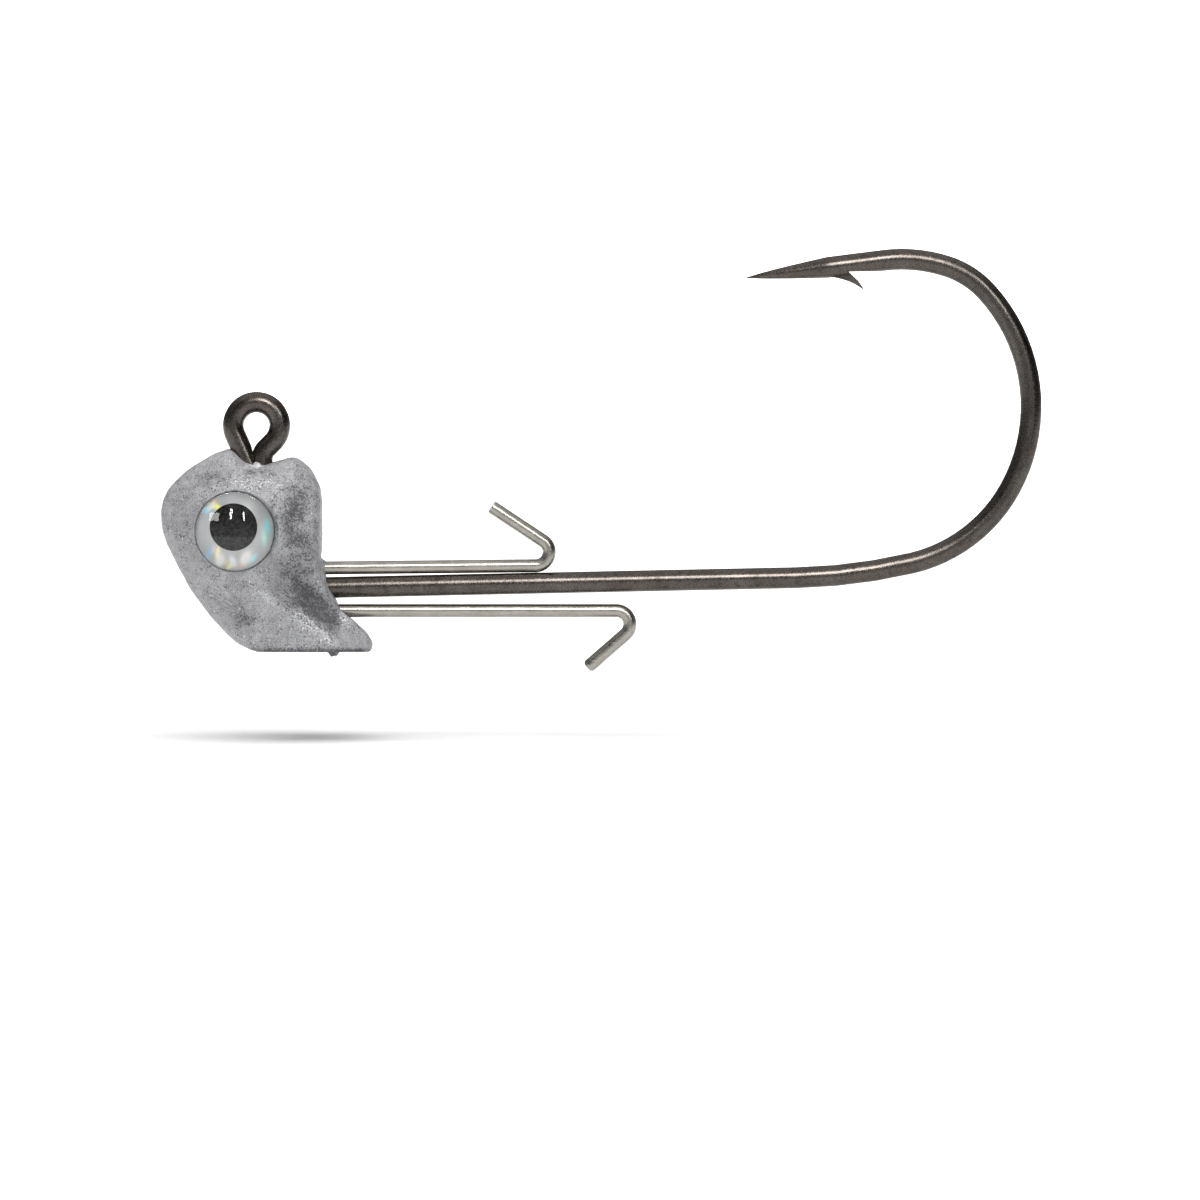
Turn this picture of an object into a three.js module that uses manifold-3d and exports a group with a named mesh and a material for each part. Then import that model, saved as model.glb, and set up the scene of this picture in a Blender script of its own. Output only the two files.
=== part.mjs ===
// Jig head: a lead head cast round a forged hook and two bait-keeper wires, with a domed
// holographic eye stuck in a socket on each cheek. Millimetres, +Z up, +X towards the bend.
// The origin is the centre of the hook's line tie, the ring that the line is tied to.
// The whole jig is symmetric about the plane Y = 0, where the casting mould parts.

import * as THREE from "three";
import { mergeVertices } from "three/addons/utils/BufferGeometryUtils.js";
import Module from "manifold-3d";

const wasm = await Module();
wasm.setup();

// ---- Driving dimensions ----------------------------------------------------------------

const CAST_GAP = 0.05; // between the casting and whatever it holds
const LAYER_GAP = 0.03; // between the layers of an eye

// Hook, bent from one wire. Headings are in degrees from +X towards +Z.
const HOOK_WIRE_R = 0.68;
const TIE_WIRE_R = 0.67; // the ring is drawn slightly thinner
const TIE_RING_R = 1.49; // centreline of the ring
const TIE_NECK = { radius: 0.96, turn: 45, straight: 0.58 }; // from the riser into the ring
const TIE_RING_TURN = 249;
const TIE_END = { straight: 2.15, gap: 0.03 }; // the cut end, which closes on the riser
const RISER = { x: 0.33, top: -2.11, cornerRadius: 2 };
const SHANK = { heading: 1.2, z: -10.43, length: 34.2 }; // z is where it would meet the riser
const BEND = [
  { radius: 35.6, turn: 12 },
  { radius: 9.7, turn: 48 },
  { radius: 10.9, turn: 71 },
  { radius: 5.9, turn: 30 },
  { radius: 9.4, turn: 25 },
];
const SPEAR = { straight: 8.87, taper: 5.3, power: 0.75, tipR: 0.03 };
const FORGING = { flatten: 0.84, fade: 6 }; // the bend is pressed thinner across Y
// Barb, in distances back from the point and drops below the middle of the wire.
const BARB = { root: 5.3, tip: 7.45, tipDrop: 1.77, halfWidth: 0.26 };
const BARB_NOTCH = { start: 6.55, drop: 0.43, end: 8.8 };

// Bait keepers: two straight wires with a turned-back barb, each held by a foot in the lead.
const KEEPER_WIRE_R = 0.425;
const KEEPER_BEND_R = 0.87;
const KEEPER_FOOT = { bendRadius: 0.6, length: 0.35 };
const UPPER_KEEPER = { inner: 2.35, z: -9.11, heading: 0.6, legEnd: 17.84, turn: 146.5, arm: 3.95 };
const LOWER_KEEPER = { inner: 2.2, z: -11.82, heading: 0, legEnd: 22.99, turn: -139, arm: 3.1 };

// Head casting.
const HEAD_CORE = { x: 0.32, z: -8.58 }; // the outline is star-shaped about this point
const HEAD_HALF_WIDTH = 3.5;
const SOFTENING = { reach: 0.07, samples: 5, power: 3 }; // how the outline's corners fade out
const BASE_Z = -14.46;
const BAIT_FACE = { x: 4.12, low: -8.45, high: -3 }; // flat that a bait butts against
const HEAD_OUTLINE = [
  [0.06, -2.52], // saddle under the line tie
  [1.54, -2.2],
  [2.45, -2.0], // crown behind the line tie
  [3.3, -2.6],
  [3.92, -3.7],
  [4.2, -5.3], // back of the head, where a bait butts
  [4.2, -7.4],
  [4.1, -8.5],
  [4.45, -9.9],
  [5.18, -11.33],
  [5.46, -11.85],
  [6.21, -12.45],
  [7.1, -13.4], // heel
  [7.36, -14.1],
  [6.9, -14.75],
  [5.2, -14.95], // underside, cut flat at BASE_Z
  [1.6, -14.9],
  [0.2, -14.52],
  [-1.2, -13.9],
  [-2.69, -12.45], // chin
  [-3.84, -11.01],
  [-4.7, -9.6],
  [-5.4, -8.32],
  [-5.94, -6.98],
  [-6.14, -5.75], // snout
  [-5.89, -4.56],
  [-5.12, -3.46],
  [-3.46, -2.18],
  [-2.43, -1.7],
  [-1.62, -1.5], // forehead in front of the line tie
  [-1.15, -1.92],
  [-0.62, -2.32],
];

// Eyes: each is a self-adhesive pad, a foil disc, a printed pupil and a clear dome.
const EYE = { x: -1.27, z: -6.78, radius: 2.5 };
const SOCKET = { floor: 2.3, clearance: 0.04, wall: 0.55, flare: 0.32, flareDepth: 0.6 };
const PAD = { radius: 2.3, thickness: 0.15 };
const FOIL_THICKNESS = 0.08;
const PUPIL = { radius: 1.44, thickness: 0.05, dx: -0.08, dz: 0.27 };
const DOME = { rim: 0.3, height: 0.95 };

// Facets.
const HOOK_SIDES = 14;
const KEEPER_SIDES = 12;
const HEAD_FACETS = { around: 76, across: 22 };
const EYE_FACETS = 32;
const DEGREES_PER_FACET = 9;

// ---- Materials -------------------------------------------------------------------------

const metal = (color, roughness) =>
  new THREE.MeshStandardMaterial({ color, roughness, metalness: 1 });
const plain = (color, roughness, extra = {}) =>
  new THREE.MeshStandardMaterial({ color, roughness, metalness: 0, ...extra });

const MATERIALS = {
  castLead: metal(0x9a9aa0, 0.5),
  blackNickel: metal(0x3a3531, 0.22),
  stainlessWire: metal(0xaaa598, 0.25),
  adhesive: plain(0xe8e6e0, 0.8),
  foil: metal(0xc9ced0, 0.3),
  ink: plain(0x181818, 0.5),
  clearResin: plain(0xffffff, 0.05, { transparent: true, opacity: 0.3 }),
};

// ---- Solids ----------------------------------------------------------------------------

// Turns a closed three.js geometry into a manifold-3d solid.
function solid(geometry) {
  const bare = geometry.clone();
  bare.deleteAttribute("normal");
  bare.deleteAttribute("uv");
  const merged = mergeVertices(bare, 1e-5);
  return new wasm.Manifold(
    new wasm.Mesh({
      numProp: 3,
      vertProperties: new Float32Array(merged.attributes.position.array),
      triVerts: new Uint32Array(merged.index.array),
    }),
  );
}

// Turns a manifold-3d solid back into a three.js geometry.
function geometryOf(body) {
  const mesh = body.getMesh();
  const geometry = new THREE.BufferGeometry();
  geometry.setAttribute("position", new THREE.BufferAttribute(mesh.vertProperties, 3));
  geometry.setIndex(new THREE.BufferAttribute(mesh.triVerts, 1));
  geometry.computeVertexNormals();
  return geometry;
}

function node(name, body, material) {
  const mesh = new THREE.Mesh(geometryOf(body), material);
  mesh.name = name;
  return mesh;
}

// A box between two corners.
function block(low, high) {
  const size = high.map((v, i) => v - low[i]);
  const box = new THREE.BoxGeometry(...size);
  return solid(box.translate(...low.map((v, i) => v + size[i] / 2)));
}

// ---- Wire ------------------------------------------------------------------------------

// Walks along a wire that is bent in the XZ plane, and returns a station at each facet.
// A move is a straight run, or a bend with a turn in degrees, positive towards +Z from +X.
function bendWire(start, heading, moves) {
  let { x, z } = start;
  let angle = THREE.MathUtils.degToRad(heading);
  let run = 0;
  const stations = [{ x, z, angle, run }];
  const addStation = () => stations.push({ x, z, angle, run });
  for (const { straight = 0, steps = 1, radius = 0, turn = 0 } of moves) {
    for (let i = 0; straight > 0 && i < steps; i++) {
      x += (Math.cos(angle) * straight) / steps;
      z += (Math.sin(angle) * straight) / steps;
      run += straight / steps;
      addStation();
    }
    const facets = Math.ceil(Math.abs(turn) / DEGREES_PER_FACET);
    for (let i = 0; i < facets; i++) {
      const step = THREE.MathUtils.degToRad(turn / facets);
      const chord = 2 * radius * Math.sin(Math.abs(step) / 2);
      x += Math.cos(angle + step / 2) * chord;
      z += Math.sin(angle + step / 2) * chord;
      angle += step;
      run += radius * Math.abs(step);
      addStation();
    }
  }
  return stations;
}

// A solid along the stations. section(run) gives its half sizes in the plane and across it.
function wireSolid(stations, sides, section) {
  const last = stations.length - 1;
  const tube = new THREE.CylinderGeometry(1, 1, 1, sides, last);
  const position = tube.attributes.position;
  for (let i = 0; i < position.count; i++) {
    const along = Math.round((position.getY(i) + 0.5) * last);
    const { x, z, angle, run } = stations[along];
    const { inPlane, across } = section(run);
    const side = position.getX(i) * inPlane;
    position.setXYZ(
      i,
      x - Math.sin(angle) * side,
      position.getZ(i) * across,
      z + Math.cos(angle) * side,
    );
  }
  return solid(tube);
}

const round = (radius) => () => ({ inPlane: radius, across: radius });

// ---- Hook ------------------------------------------------------------------------------

// The path of the hook's shank, bend and point, from the line tie's neck at the top.
function hookBodyMoves() {
  const corner = 90 + SHANK.heading;
  const reach = RISER.cornerRadius * Math.tan(THREE.MathUtils.degToRad(corner / 2));
  return [
    { straight: RISER.top - SHANK.z - reach, steps: 4 },
    { radius: RISER.cornerRadius, turn: corner },
    { straight: SHANK.length - reach, steps: 8 },
    ...BEND,
    { straight: SPEAR.straight - SPEAR.taper, steps: 2 },
    { straight: SPEAR.taper, steps: 12 },
  ];
}

// The section of the hook's wire: full round, pressed flatter in the bend, tapered to the point.
function hookSection(total, clearance) {
  const bendLength = BEND.reduce(
    (sum, { radius, turn }) => sum + radius * THREE.MathUtils.degToRad(turn),
    0,
  );
  const bendEnd = total - SPEAR.straight;
  const bendStart = bendEnd - bendLength;
  return (run) => {
    const toTip = Math.max(total - run, 0);
    const share = Math.min((toTip / SPEAR.taper) ** SPEAR.power, 1);
    const radius = Math.max(HOOK_WIRE_R * share, SPEAR.tipR) + clearance;
    const pressed =
      THREE.MathUtils.smoothstep(run, bendStart, bendStart + FORGING.fade) *
      (1 - THREE.MathUtils.smoothstep(run, bendEnd - FORGING.fade / 2, bendEnd));
    return { inPlane: radius, across: radius * (1 - (1 - FORGING.flatten) * pressed) };
  };
}

function hookBody(clearance = 0) {
  const stations = bendWire({ x: RISER.x, z: RISER.top }, -90, hookBodyMoves());
  const total = stations.at(-1).run;
  return {
    body: wireSolid(stations, HOOK_SIDES, hookSection(total, clearance)),
    tip: stations.at(-1),
  };
}

// The ring, which leaves the riser, turns once round the origin and closes on the riser.
function lineTie(clearance = 0) {
  const neck = [
    { radius: TIE_NECK.radius, turn: -TIE_NECK.turn },
    { straight: TIE_NECK.straight },
  ];
  const start = { x: RISER.x, z: RISER.top };
  const overlap = 0.3; // joins the ring to the riser
  const below = { x: start.x, z: start.z - overlap };
  const thin = round(TIE_WIRE_R + clearance);
  const ringMoves = [...neck, { radius: TIE_RING_R, turn: TIE_RING_TURN }];
  const ring = bendWire(below, 90, [{ straight: overlap }, ...ringMoves]);
  const end = ring.at(-1);
  const arm = bendWire(end, THREE.MathUtils.radToDeg(end.angle), [
    { straight: TIE_END.straight, steps: 2 },
  ]);
  const foot = { x: start.x, z: start.z - TIE_END.straight };
  const riser = wireSolid(
    bendWire(foot, 90, [{ straight: TIE_END.straight }, ...neck]),
    HOOK_SIDES,
    round(HOOK_WIRE_R + TIE_END.gap),
  );
  const closedEnd = wireSolid(arm, HOOK_SIDES, thin).subtract(riser);
  return wireSolid(ring, HOOK_SIDES, thin).add(closedEnd);
}

// The barb: a sliver lifted from the wire behind the point, and the notch that it leaves.
function barbAndNotch(tip) {
  const backwards = tip.angle + Math.PI; // from the point back along the wire
  const alongX = Math.cos(backwards);
  const alongZ = Math.sin(backwards);
  const at = ([distance, drop]) =>
    new THREE.Vector2(
      tip.x + alongX * distance + alongZ * drop,
      tip.z + alongZ * distance - alongX * drop,
    );
  const prism = (halfWidth, points) => {
    const shape = new THREE.Shape(points.map(at));
    const bar = new THREE.ExtrudeGeometry(shape, { depth: 2 * halfWidth, bevelEnabled: false });
    return solid(bar.translate(0, 0, -halfWidth).rotateX(Math.PI / 2));
  };
  const { root, tip: barbTip, tipDrop, halfWidth } = BARB;
  const { start, drop, end } = BARB_NOTCH;
  const sliver = prism(halfWidth, [
    [root - 0.9, 0.3],
    [root, 0.6],
    [root + 0.8, 0.87],
    [root + 1.5, 1.25],
    [barbTip, tipDrop],
    [start, drop],
    [start - 0.3, 0.1],
  ]);
  const notch = prism(HOOK_WIRE_R, [
    [start, drop],
    [start, tipDrop],
    [end, tipDrop],
    [end, HOOK_WIRE_R],
  ]);
  return { sliver, notch };
}

function hook() {
  const { body, tip } = hookBody();
  const { sliver, notch } = barbAndNotch(tip);
  return body.subtract(notch).add(sliver).add(lineTie());
}

// ---- Keepers ---------------------------------------------------------------------------

function keeper({ inner, z, heading, legEnd, turn, arm }, clearance = 0) {
  const side = Math.sign(turn); // 1 where the barb and the foot turn up, -1 where they turn down
  const footEnd = {
    x: inner - KEEPER_FOOT.bendRadius,
    z: z + side * (KEEPER_FOOT.bendRadius + KEEPER_FOOT.length),
  };
  const stations = bendWire(footEnd, -90 * side, [
    { straight: KEEPER_FOOT.length },
    { radius: KEEPER_FOOT.bendRadius, turn: side * 90 + heading },
    { straight: legEnd - inner, steps: 4 },
    { radius: KEEPER_BEND_R, turn: turn - heading },
    { straight: arm, steps: 2 },
  ]);
  return wireSolid(stations, KEEPER_SIDES, round(KEEPER_WIRE_R + clearance));
}

// ---- Head ------------------------------------------------------------------------------

const outlineCurve = new THREE.CatmullRomCurve3(
  HEAD_OUTLINE.map(([x, z]) => new THREE.Vector3(x, 0, z)),
  true,
  "centripetal",
);

const fade = (value, low, high) => THREE.MathUtils.smoothstep(value, low, high);
const ridge = (value, centre, width) => Math.exp(-(((value - centre) / width) ** 2));

// Half the head's thickness at its middle, at a place in the side view.
function halfThickness(x, z) {
  const crown = 1.0 * fade(z, -5.2, -2.0);
  const gill = 0.4 * ridge(x, 2.7, 0.95) * fade(z, -11, -8) * (1 - fade(z, -5.5, -2.5));
  const behindCheek = 0.61 * (x - 2.1) + 0.79 * (z + 11.5); // past the ridge down to the heel
  const heel = 2.3 * fade(behindCheek, -0.6, 1.5) * (1 - fade(z, -11.5, -7));
  const snout = 0.35 * (1 - fade(x, -6, -3.4));
  const chin = 1.1 * (1 - fade(x + 0.9 * (z + 12), -3.6, 0.6)) * (1 - fade(z, -11, -7.5));
  return HEAD_HALF_WIDTH - crown - gill - heel - snout - chin;
}

// How square the casting's edge is, by its heading from the core: 2 is round.
function squareness(heading) {
  const degrees = (THREE.MathUtils.radToDeg(heading) + 360) % 360;
  const foot = fade(degrees, 232, 262) * (1 - fade(degrees, 318, 336));
  const back = 1 - fade(Math.min(degrees, 360 - degrees), 30, 55);
  return 2.5 + 5 * foot + 1.2 * back;
}

// A point of the outline, and the mean of the outline for some way on either side of it.
function outlineAt(around) {
  const at = (turn) => outlineCurve.getPointAt(THREE.MathUtils.euclideanModulo(turn, 1));
  const mean = new THREE.Vector3();
  for (let i = -SOFTENING.samples; i <= SOFTENING.samples; i++) {
    mean.add(at(around + (i / SOFTENING.samples) * SOFTENING.reach));
  }
  return { edge: at(around), mean: mean.divideScalar(2 * SOFTENING.samples + 1) };
}

// The casting before anything is cut from it, as a sphere drawn out to the outline.
// Corners of the outline are sharp at the mould's parting plane and fade out on the cheeks.
function headBlank() {
  const ball = new THREE.SphereGeometry(1, HEAD_FACETS.around, HEAD_FACETS.across);
  const { position, uv } = ball.attributes;
  for (let i = 0; i < position.count; i++) {
    const share = Math.min(Math.hypot(position.getX(i), position.getZ(i)), 1);
    const { edge, mean } = outlineAt(uv.getX(i));
    const power = squareness(Math.atan2(edge.z - HEAD_CORE.z, edge.x - HEAD_CORE.x));
    const drawn = mean.lerp(edge, share ** SOFTENING.power);
    const x = HEAD_CORE.x + (drawn.x - HEAD_CORE.x) * share;
    const z = HEAD_CORE.z + (drawn.z - HEAD_CORE.z) * share;
    const y = Math.max(1 - share ** power, 0) ** (1 / power) * halfThickness(x, z);
    position.setXYZ(i, x, Math.sign(position.getY(i)) * y, z);
  }
  return solid(ball);
}

// A turned solid about the eye's axis on the +Y side. Its profile is [radius, y] pairs.
function turned(profile, dx = 0, dz = 0) {
  const lathe = new THREE.LatheGeometry(
    profile.map(([r, y]) => new THREE.Vector2(r, y)),
    EYE_FACETS,
  );
  return solid(lathe.translate(EYE.x + dx, 0, EYE.z + dz));
}

const disc = (radius, low, high, dx, dz) =>
  turned([[0, low], [radius, low], [radius, high], [0, high]], dx, dz);

const mirrored = (body) => body.mirror([0, 1, 0]);

function eyeSocket() {
  const mouth = EYE.radius + SOCKET.clearance;
  const lip = SOCKET.floor + SOCKET.wall;
  const outside = HEAD_HALF_WIDTH + 1;
  const flared = mouth + SOCKET.flare;
  return turned([
    [0, SOCKET.floor],
    [mouth, SOCKET.floor],
    [mouth, lip],
    [flared, lip + SOCKET.flareDepth],
    [flared, outside],
    [0, outside],
  ]);
}

function headCasting() {
  const far = 20;
  const under = block([-far, -far, BASE_Z - far], [far, far, BASE_Z]);
  const behind = block([BAIT_FACE.x, -far, BAIT_FACE.low], [far, far, BAIT_FACE.high]);
  const socket = eyeSocket();
  return headBlank()
    .subtract(under)
    .subtract(behind)
    .subtract(socket)
    .subtract(mirrored(socket))
    .subtract(hookBody(CAST_GAP).body)
    .subtract(lineTie(CAST_GAP))
    .subtract(keeper(UPPER_KEEPER, CAST_GAP))
    .subtract(keeper(LOWER_KEEPER, CAST_GAP));
}

// ---- Eyes ------------------------------------------------------------------------------

function eyeLayers() {
  const padLow = SOCKET.floor + LAYER_GAP;
  const padHigh = padLow + PAD.thickness;
  const foilLow = padHigh + LAYER_GAP;
  const foilHigh = foilLow + FOIL_THICKNESS;
  const pupilLow = foilHigh + LAYER_GAP;
  const pupilHigh = pupilLow + PUPIL.thickness;
  const domeRim = pupilLow + DOME.rim;
  const domeTop = pupilLow + DOME.height;
  const rise = domeTop - domeRim;
  const ballRadius = (EYE.radius ** 2 + rise ** 2) / (2 * rise);
  const steps = 5;
  const crownProfile = Array.from({ length: steps + 1 }, (_, i) => {
    const r = EYE.radius * (1 - i / steps);
    return [r, domeTop - ballRadius + Math.sqrt(ballRadius ** 2 - r ** 2)];
  });
  const pupilDisc = (grow) =>
    disc(PUPIL.radius + grow, pupilLow - grow, pupilHigh + grow, PUPIL.dx, PUPIL.dz);
  const dome = turned([[0, pupilLow], [EYE.radius, pupilLow], ...crownProfile]);
  return {
    adhesive_pad: [disc(PAD.radius, padLow, padHigh), MATERIALS.adhesive],
    foil: [disc(EYE.radius, foilLow, foilHigh), MATERIALS.foil],
    pupil: [pupilDisc(0), MATERIALS.ink],
    dome: [dome.subtract(pupilDisc(LAYER_GAP)), MATERIALS.clearResin],
  };
}

// ---- Assembly --------------------------------------------------------------------------

const jig = new THREE.Group();
jig.add(
  node("head_casting", headCasting(), MATERIALS.castLead),
  node("jig_hook", hook(), MATERIALS.blackNickel),
  node("upper_keeper_wire", keeper(UPPER_KEEPER), MATERIALS.stainlessWire),
  node("lower_keeper_wire", keeper(LOWER_KEEPER), MATERIALS.stainlessWire),
);
for (const [layer, [body, material]] of Object.entries(eyeLayers())) {
  jig.add(
    node(`left_eye_${layer}`, body, material),
    node(`right_eye_${layer}`, mirrored(body), material),
  );
}

export default jig;
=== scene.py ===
"""A lead jig head on a black nickel hook, with wire bait keepers and domed eyes.

Shapes are worked out in millimetres, in the part's own axes: origin at the line tie, +Z up and
+X towards the bend. put() turns them into metres. The camera looks along +Y.
"""

import math

import bmesh
import bpy
import numpy as np
from mathutils import Matrix, Vector, noise


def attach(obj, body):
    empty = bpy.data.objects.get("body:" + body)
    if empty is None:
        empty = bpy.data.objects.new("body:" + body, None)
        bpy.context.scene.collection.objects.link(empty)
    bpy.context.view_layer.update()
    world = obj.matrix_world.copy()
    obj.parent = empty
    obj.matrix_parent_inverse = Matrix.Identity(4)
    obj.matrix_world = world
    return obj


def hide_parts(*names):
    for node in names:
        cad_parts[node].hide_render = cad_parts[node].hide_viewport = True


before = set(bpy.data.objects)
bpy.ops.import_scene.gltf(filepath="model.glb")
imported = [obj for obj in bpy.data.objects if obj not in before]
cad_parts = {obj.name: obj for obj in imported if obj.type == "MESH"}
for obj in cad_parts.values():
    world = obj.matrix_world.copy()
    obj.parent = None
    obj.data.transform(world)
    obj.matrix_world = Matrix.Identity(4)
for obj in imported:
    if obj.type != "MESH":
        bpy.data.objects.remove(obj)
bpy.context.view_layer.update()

MM = 0.001

# ---- Dimensions, in millimetres and degrees --------------------------------------------
# They are the CAD part's own, apart from three things. The barb is a tapered sliver here, the
# foil and pupil are thinner and reach the dome, and the marks on the lead's skin are added.

HOOK_WIRE_R = 0.68
TIE_WIRE_R = 0.67
TIE_RING_R = 1.49
TIE_NECK = dict(radius=0.96, turn=45, straight=0.58)
TIE_RING_TURN = 249
TIE_END = dict(straight=2.15, gap=0.03)
RISER = dict(x=0.33, top=-2.11, corner_radius=2.0)
SHANK = dict(heading=1.2, z=-10.43, length=34.2)
BEND = [(35.6, 12), (9.7, 48), (10.9, 71), (5.9, 30), (9.4, 25)]
SPEAR = dict(straight=8.87, taper=5.3, power=0.75, tip_r=0.03)
FORGING = dict(flatten=0.84, fade=6.0)
BARB = dict(root=5.3, tip=7.45, tip_drop=1.77, half_width=0.3, tip_half_width=0.05)
BARB_NOTCH = dict(start=6.55, drop=0.43, end=8.8)

KEEPER_WIRE_R = 0.425
KEEPER_BEND_R = 0.87
UPPER_KEEPER = dict(inner=2.35, z=-9.11, heading=0.6, leg_end=17.84, turn=146.5, arm=3.95)
LOWER_KEEPER = dict(inner=2.2, z=-11.82, heading=0, leg_end=22.99, turn=-139, arm=3.1)

HEAD_CORE = (0.32, -8.58)
HEAD_HALF_WIDTH = 3.5
SOFTENING = dict(reach=0.07, samples=5, power=3)
BASE_Z = -14.46
BAIT_FACE = dict(x=4.12, low=-8.45, high=-3.0)
HEAD_OUTLINE = [
    (0.06, -2.52),  # saddle under the line tie
    (1.54, -2.2),
    (2.45, -2.0),  # crown behind the line tie
    (3.3, -2.6),
    (3.92, -3.7),
    (4.2, -5.3),  # back of the head, where a bait butts
    (4.2, -7.4),
    (4.1, -8.5),
    (4.45, -9.9),
    (5.18, -11.33),
    (5.46, -11.85),
    (6.21, -12.45),
    (7.1, -13.4),  # heel
    (7.36, -14.1),
    (6.9, -14.75),
    (5.2, -14.95),  # underside, cut flat at BASE_Z
    (1.6, -14.9),
    (0.2, -14.52),
    (-1.2, -13.9),
    (-2.69, -12.45),  # chin
    (-3.84, -11.01),
    (-4.7, -9.6),
    (-5.4, -8.32),
    (-5.94, -6.98),
    (-6.14, -5.75),  # snout
    (-5.89, -4.56),
    (-5.12, -3.46),
    (-3.46, -2.18),
    (-2.43, -1.7),
    (-1.62, -1.5),  # forehead in front of the line tie
    (-1.15, -1.92),
    (-0.62, -2.32),
]

EYE = dict(x=-1.27, z=-6.78, radius=2.5)
SOCKET = dict(floor=2.3, clearance=0.04, wall=0.55, flare=0.32, flare_depth=0.6)
PAD = dict(radius=2.3, front=2.48, thickness=0.15)
EYE_BACK = 2.62  # the foil's face, where the dome starts
FOIL = dict(inset=0.015, thickness=0.05)
PUPIL = dict(radius=1.44, dx=-0.08, dz=0.27, proud=0.02, thickness=0.04)
DOME = dict(rim=0.3, height=0.95, edge=0.09, sunk=0.04)

RIDGE_WAY = (0.61, 0.79)  # in X and Z, square to the ridge that runs down to the heel
CHILL_PIT = (-0.78, -12.4)  # X and Z of the larger pit on each side
PARTING_LINE = dict(width=0.085, height=0.045)
SKIN_LIMIT = 0.07  # the most that the skin stands off the mould's form

# ---- Fineness of the meshes ------------------------------------------------------------

WIRE_PITCH = 0.16
WIRE_DEGREES = 4
WIRE_SIDES = 36
HEAD_AROUND = 300
HEAD_ACROSS = 110
HEAD_VOXEL = 0.085
EYE_FACETS = 96
FOIL_RINGS, PAD_RINGS = 28, 8
DOME_RINGS, DOME_EDGE_RINGS = 40, 6
AXIS_R = 0.001  # where the flat faces of turned pieces stop, next to the axis


# ---- Mesh helpers ----------------------------------------------------------------------


def make_mesh(name, points, faces):
    """An object with points in millimetres, not yet placed."""
    mesh = bpy.data.meshes.new(name)
    mesh.from_pydata([tuple(p) for p in points], [], faces)
    mesh.validate()
    piece = bpy.data.objects.new(name, mesh)
    bpy.context.scene.collection.objects.link(piece)
    return piece


def ring_quads(rings, sides):
    """Faces of a tube, between rings of points that follow each other."""
    quads = []
    for i in range(rings - 1):
        for k in range(sides):
            n = (k + 1) % sides
            quads.append((i * sides + k, i * sides + n, (i + 1) * sides + n, (i + 1) * sides + k))
    return quads


def poled_tube(rings, sides):
    """Faces of a tube whose ends close on two poles, which are its last two points."""
    faces = ring_quads(rings, sides)
    last, pole = (rings - 1) * sides, rings * sides
    for k in range(sides):
        n = (k + 1) % sides
        faces.append((k, n, pole))
        faces.append((last + k, last + n, pole + 1))
    return faces


def turn_faces_out(piece):
    """Merges doubled points and makes all normals point outwards."""
    work = bmesh.new()
    work.from_mesh(piece.data)
    bmesh.ops.remove_doubles(work, verts=work.verts, dist=1e-5)
    bmesh.ops.recalc_face_normals(work, faces=work.faces)
    work.to_mesh(piece.data)
    work.free()


def put(piece, nodes, material, sharp=40):
    """Brings a finished piece to metres and gives it its body, slot and material."""
    piece.data.transform(Matrix.Scale(MM, 4))
    piece.data.materials.clear()
    piece.data.materials.append(material)
    piece.data.shade_smooth()
    piece.data.set_sharp_from_angle(angle=math.radians(sharp))
    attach(piece, "root")
    if nodes:
        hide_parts(*nodes)
    return piece


def apply_modifiers(piece):
    """Replaces the piece's mesh by what its modifiers make of it."""
    evaluated = piece.evaluated_get(bpy.context.evaluated_depsgraph_get())
    mesh = bpy.data.meshes.new_from_object(evaluated)
    piece.modifiers.clear()
    piece.data = mesh


def combine(piece, other, operation):
    """Boolean of two meshes. The second one is used up."""
    cut = piece.modifiers.new("cut", "BOOLEAN")
    cut.operation = operation
    cut.solver = "EXACT"
    cut.object = other
    apply_modifiers(piece)
    bpy.data.objects.remove(other)


def join(piece, *others):
    """Puts other meshes into the piece's own mesh, as separate shells."""
    work = bmesh.new()
    for each in (piece, *others):
        work.from_mesh(each.data)
    work.to_mesh(piece.data)
    work.free()
    for each in others:
        bpy.data.objects.remove(each)


def box(name, low, high):
    """A block for cutting with."""
    xs, ys, zs = zip(low, high)
    corners = [(x, y, z) for x in xs for y in ys for z in zs]
    quads = [(0, 1, 3, 2), (4, 6, 7, 5), (0, 4, 5, 1), (2, 3, 7, 6), (0, 2, 6, 4), (1, 5, 7, 3)]
    return make_mesh(name, corners, quads)


def lathe(name, profile, centre, side):
    """A turned solid about an axis along Y. profile holds (radius, y) pairs."""
    points = []
    for r, y in profile:
        for k in range(EYE_FACETS):
            turn = 2 * math.pi * k / EYE_FACETS
            points.append((centre[0] + r * math.cos(turn), side * y, centre[1] + r * math.sin(turn)))
    faces = ring_quads(len(profile), EYE_FACETS)
    faces += [list(range(EYE_FACETS)), list(range(len(points) - EYE_FACETS, len(points)))]
    piece = make_mesh(name, points, faces)
    turn_faces_out(piece)
    return piece


def smoothstep(value, low, high):
    """0 below low and 1 above high, with a smooth rise between them."""
    t = np.clip((value - low) / (high - low), 0, 1)
    return t * t * (3 - 2 * t)


def spot(*offsets):
    """1 at a place and fading to 0 round it. Offsets from it are in widths of the spot."""
    return math.exp(-sum(offset**2 for offset in offsets))


def past_ridge(x, z, place):
    """How far a point is past a line through the place that runs along the heel ridge."""
    return (x - place[0]) * RIDGE_WAY[0] + (z - place[1]) * RIDGE_WAY[1]


# ---- Wire ------------------------------------------------------------------------------


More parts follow.
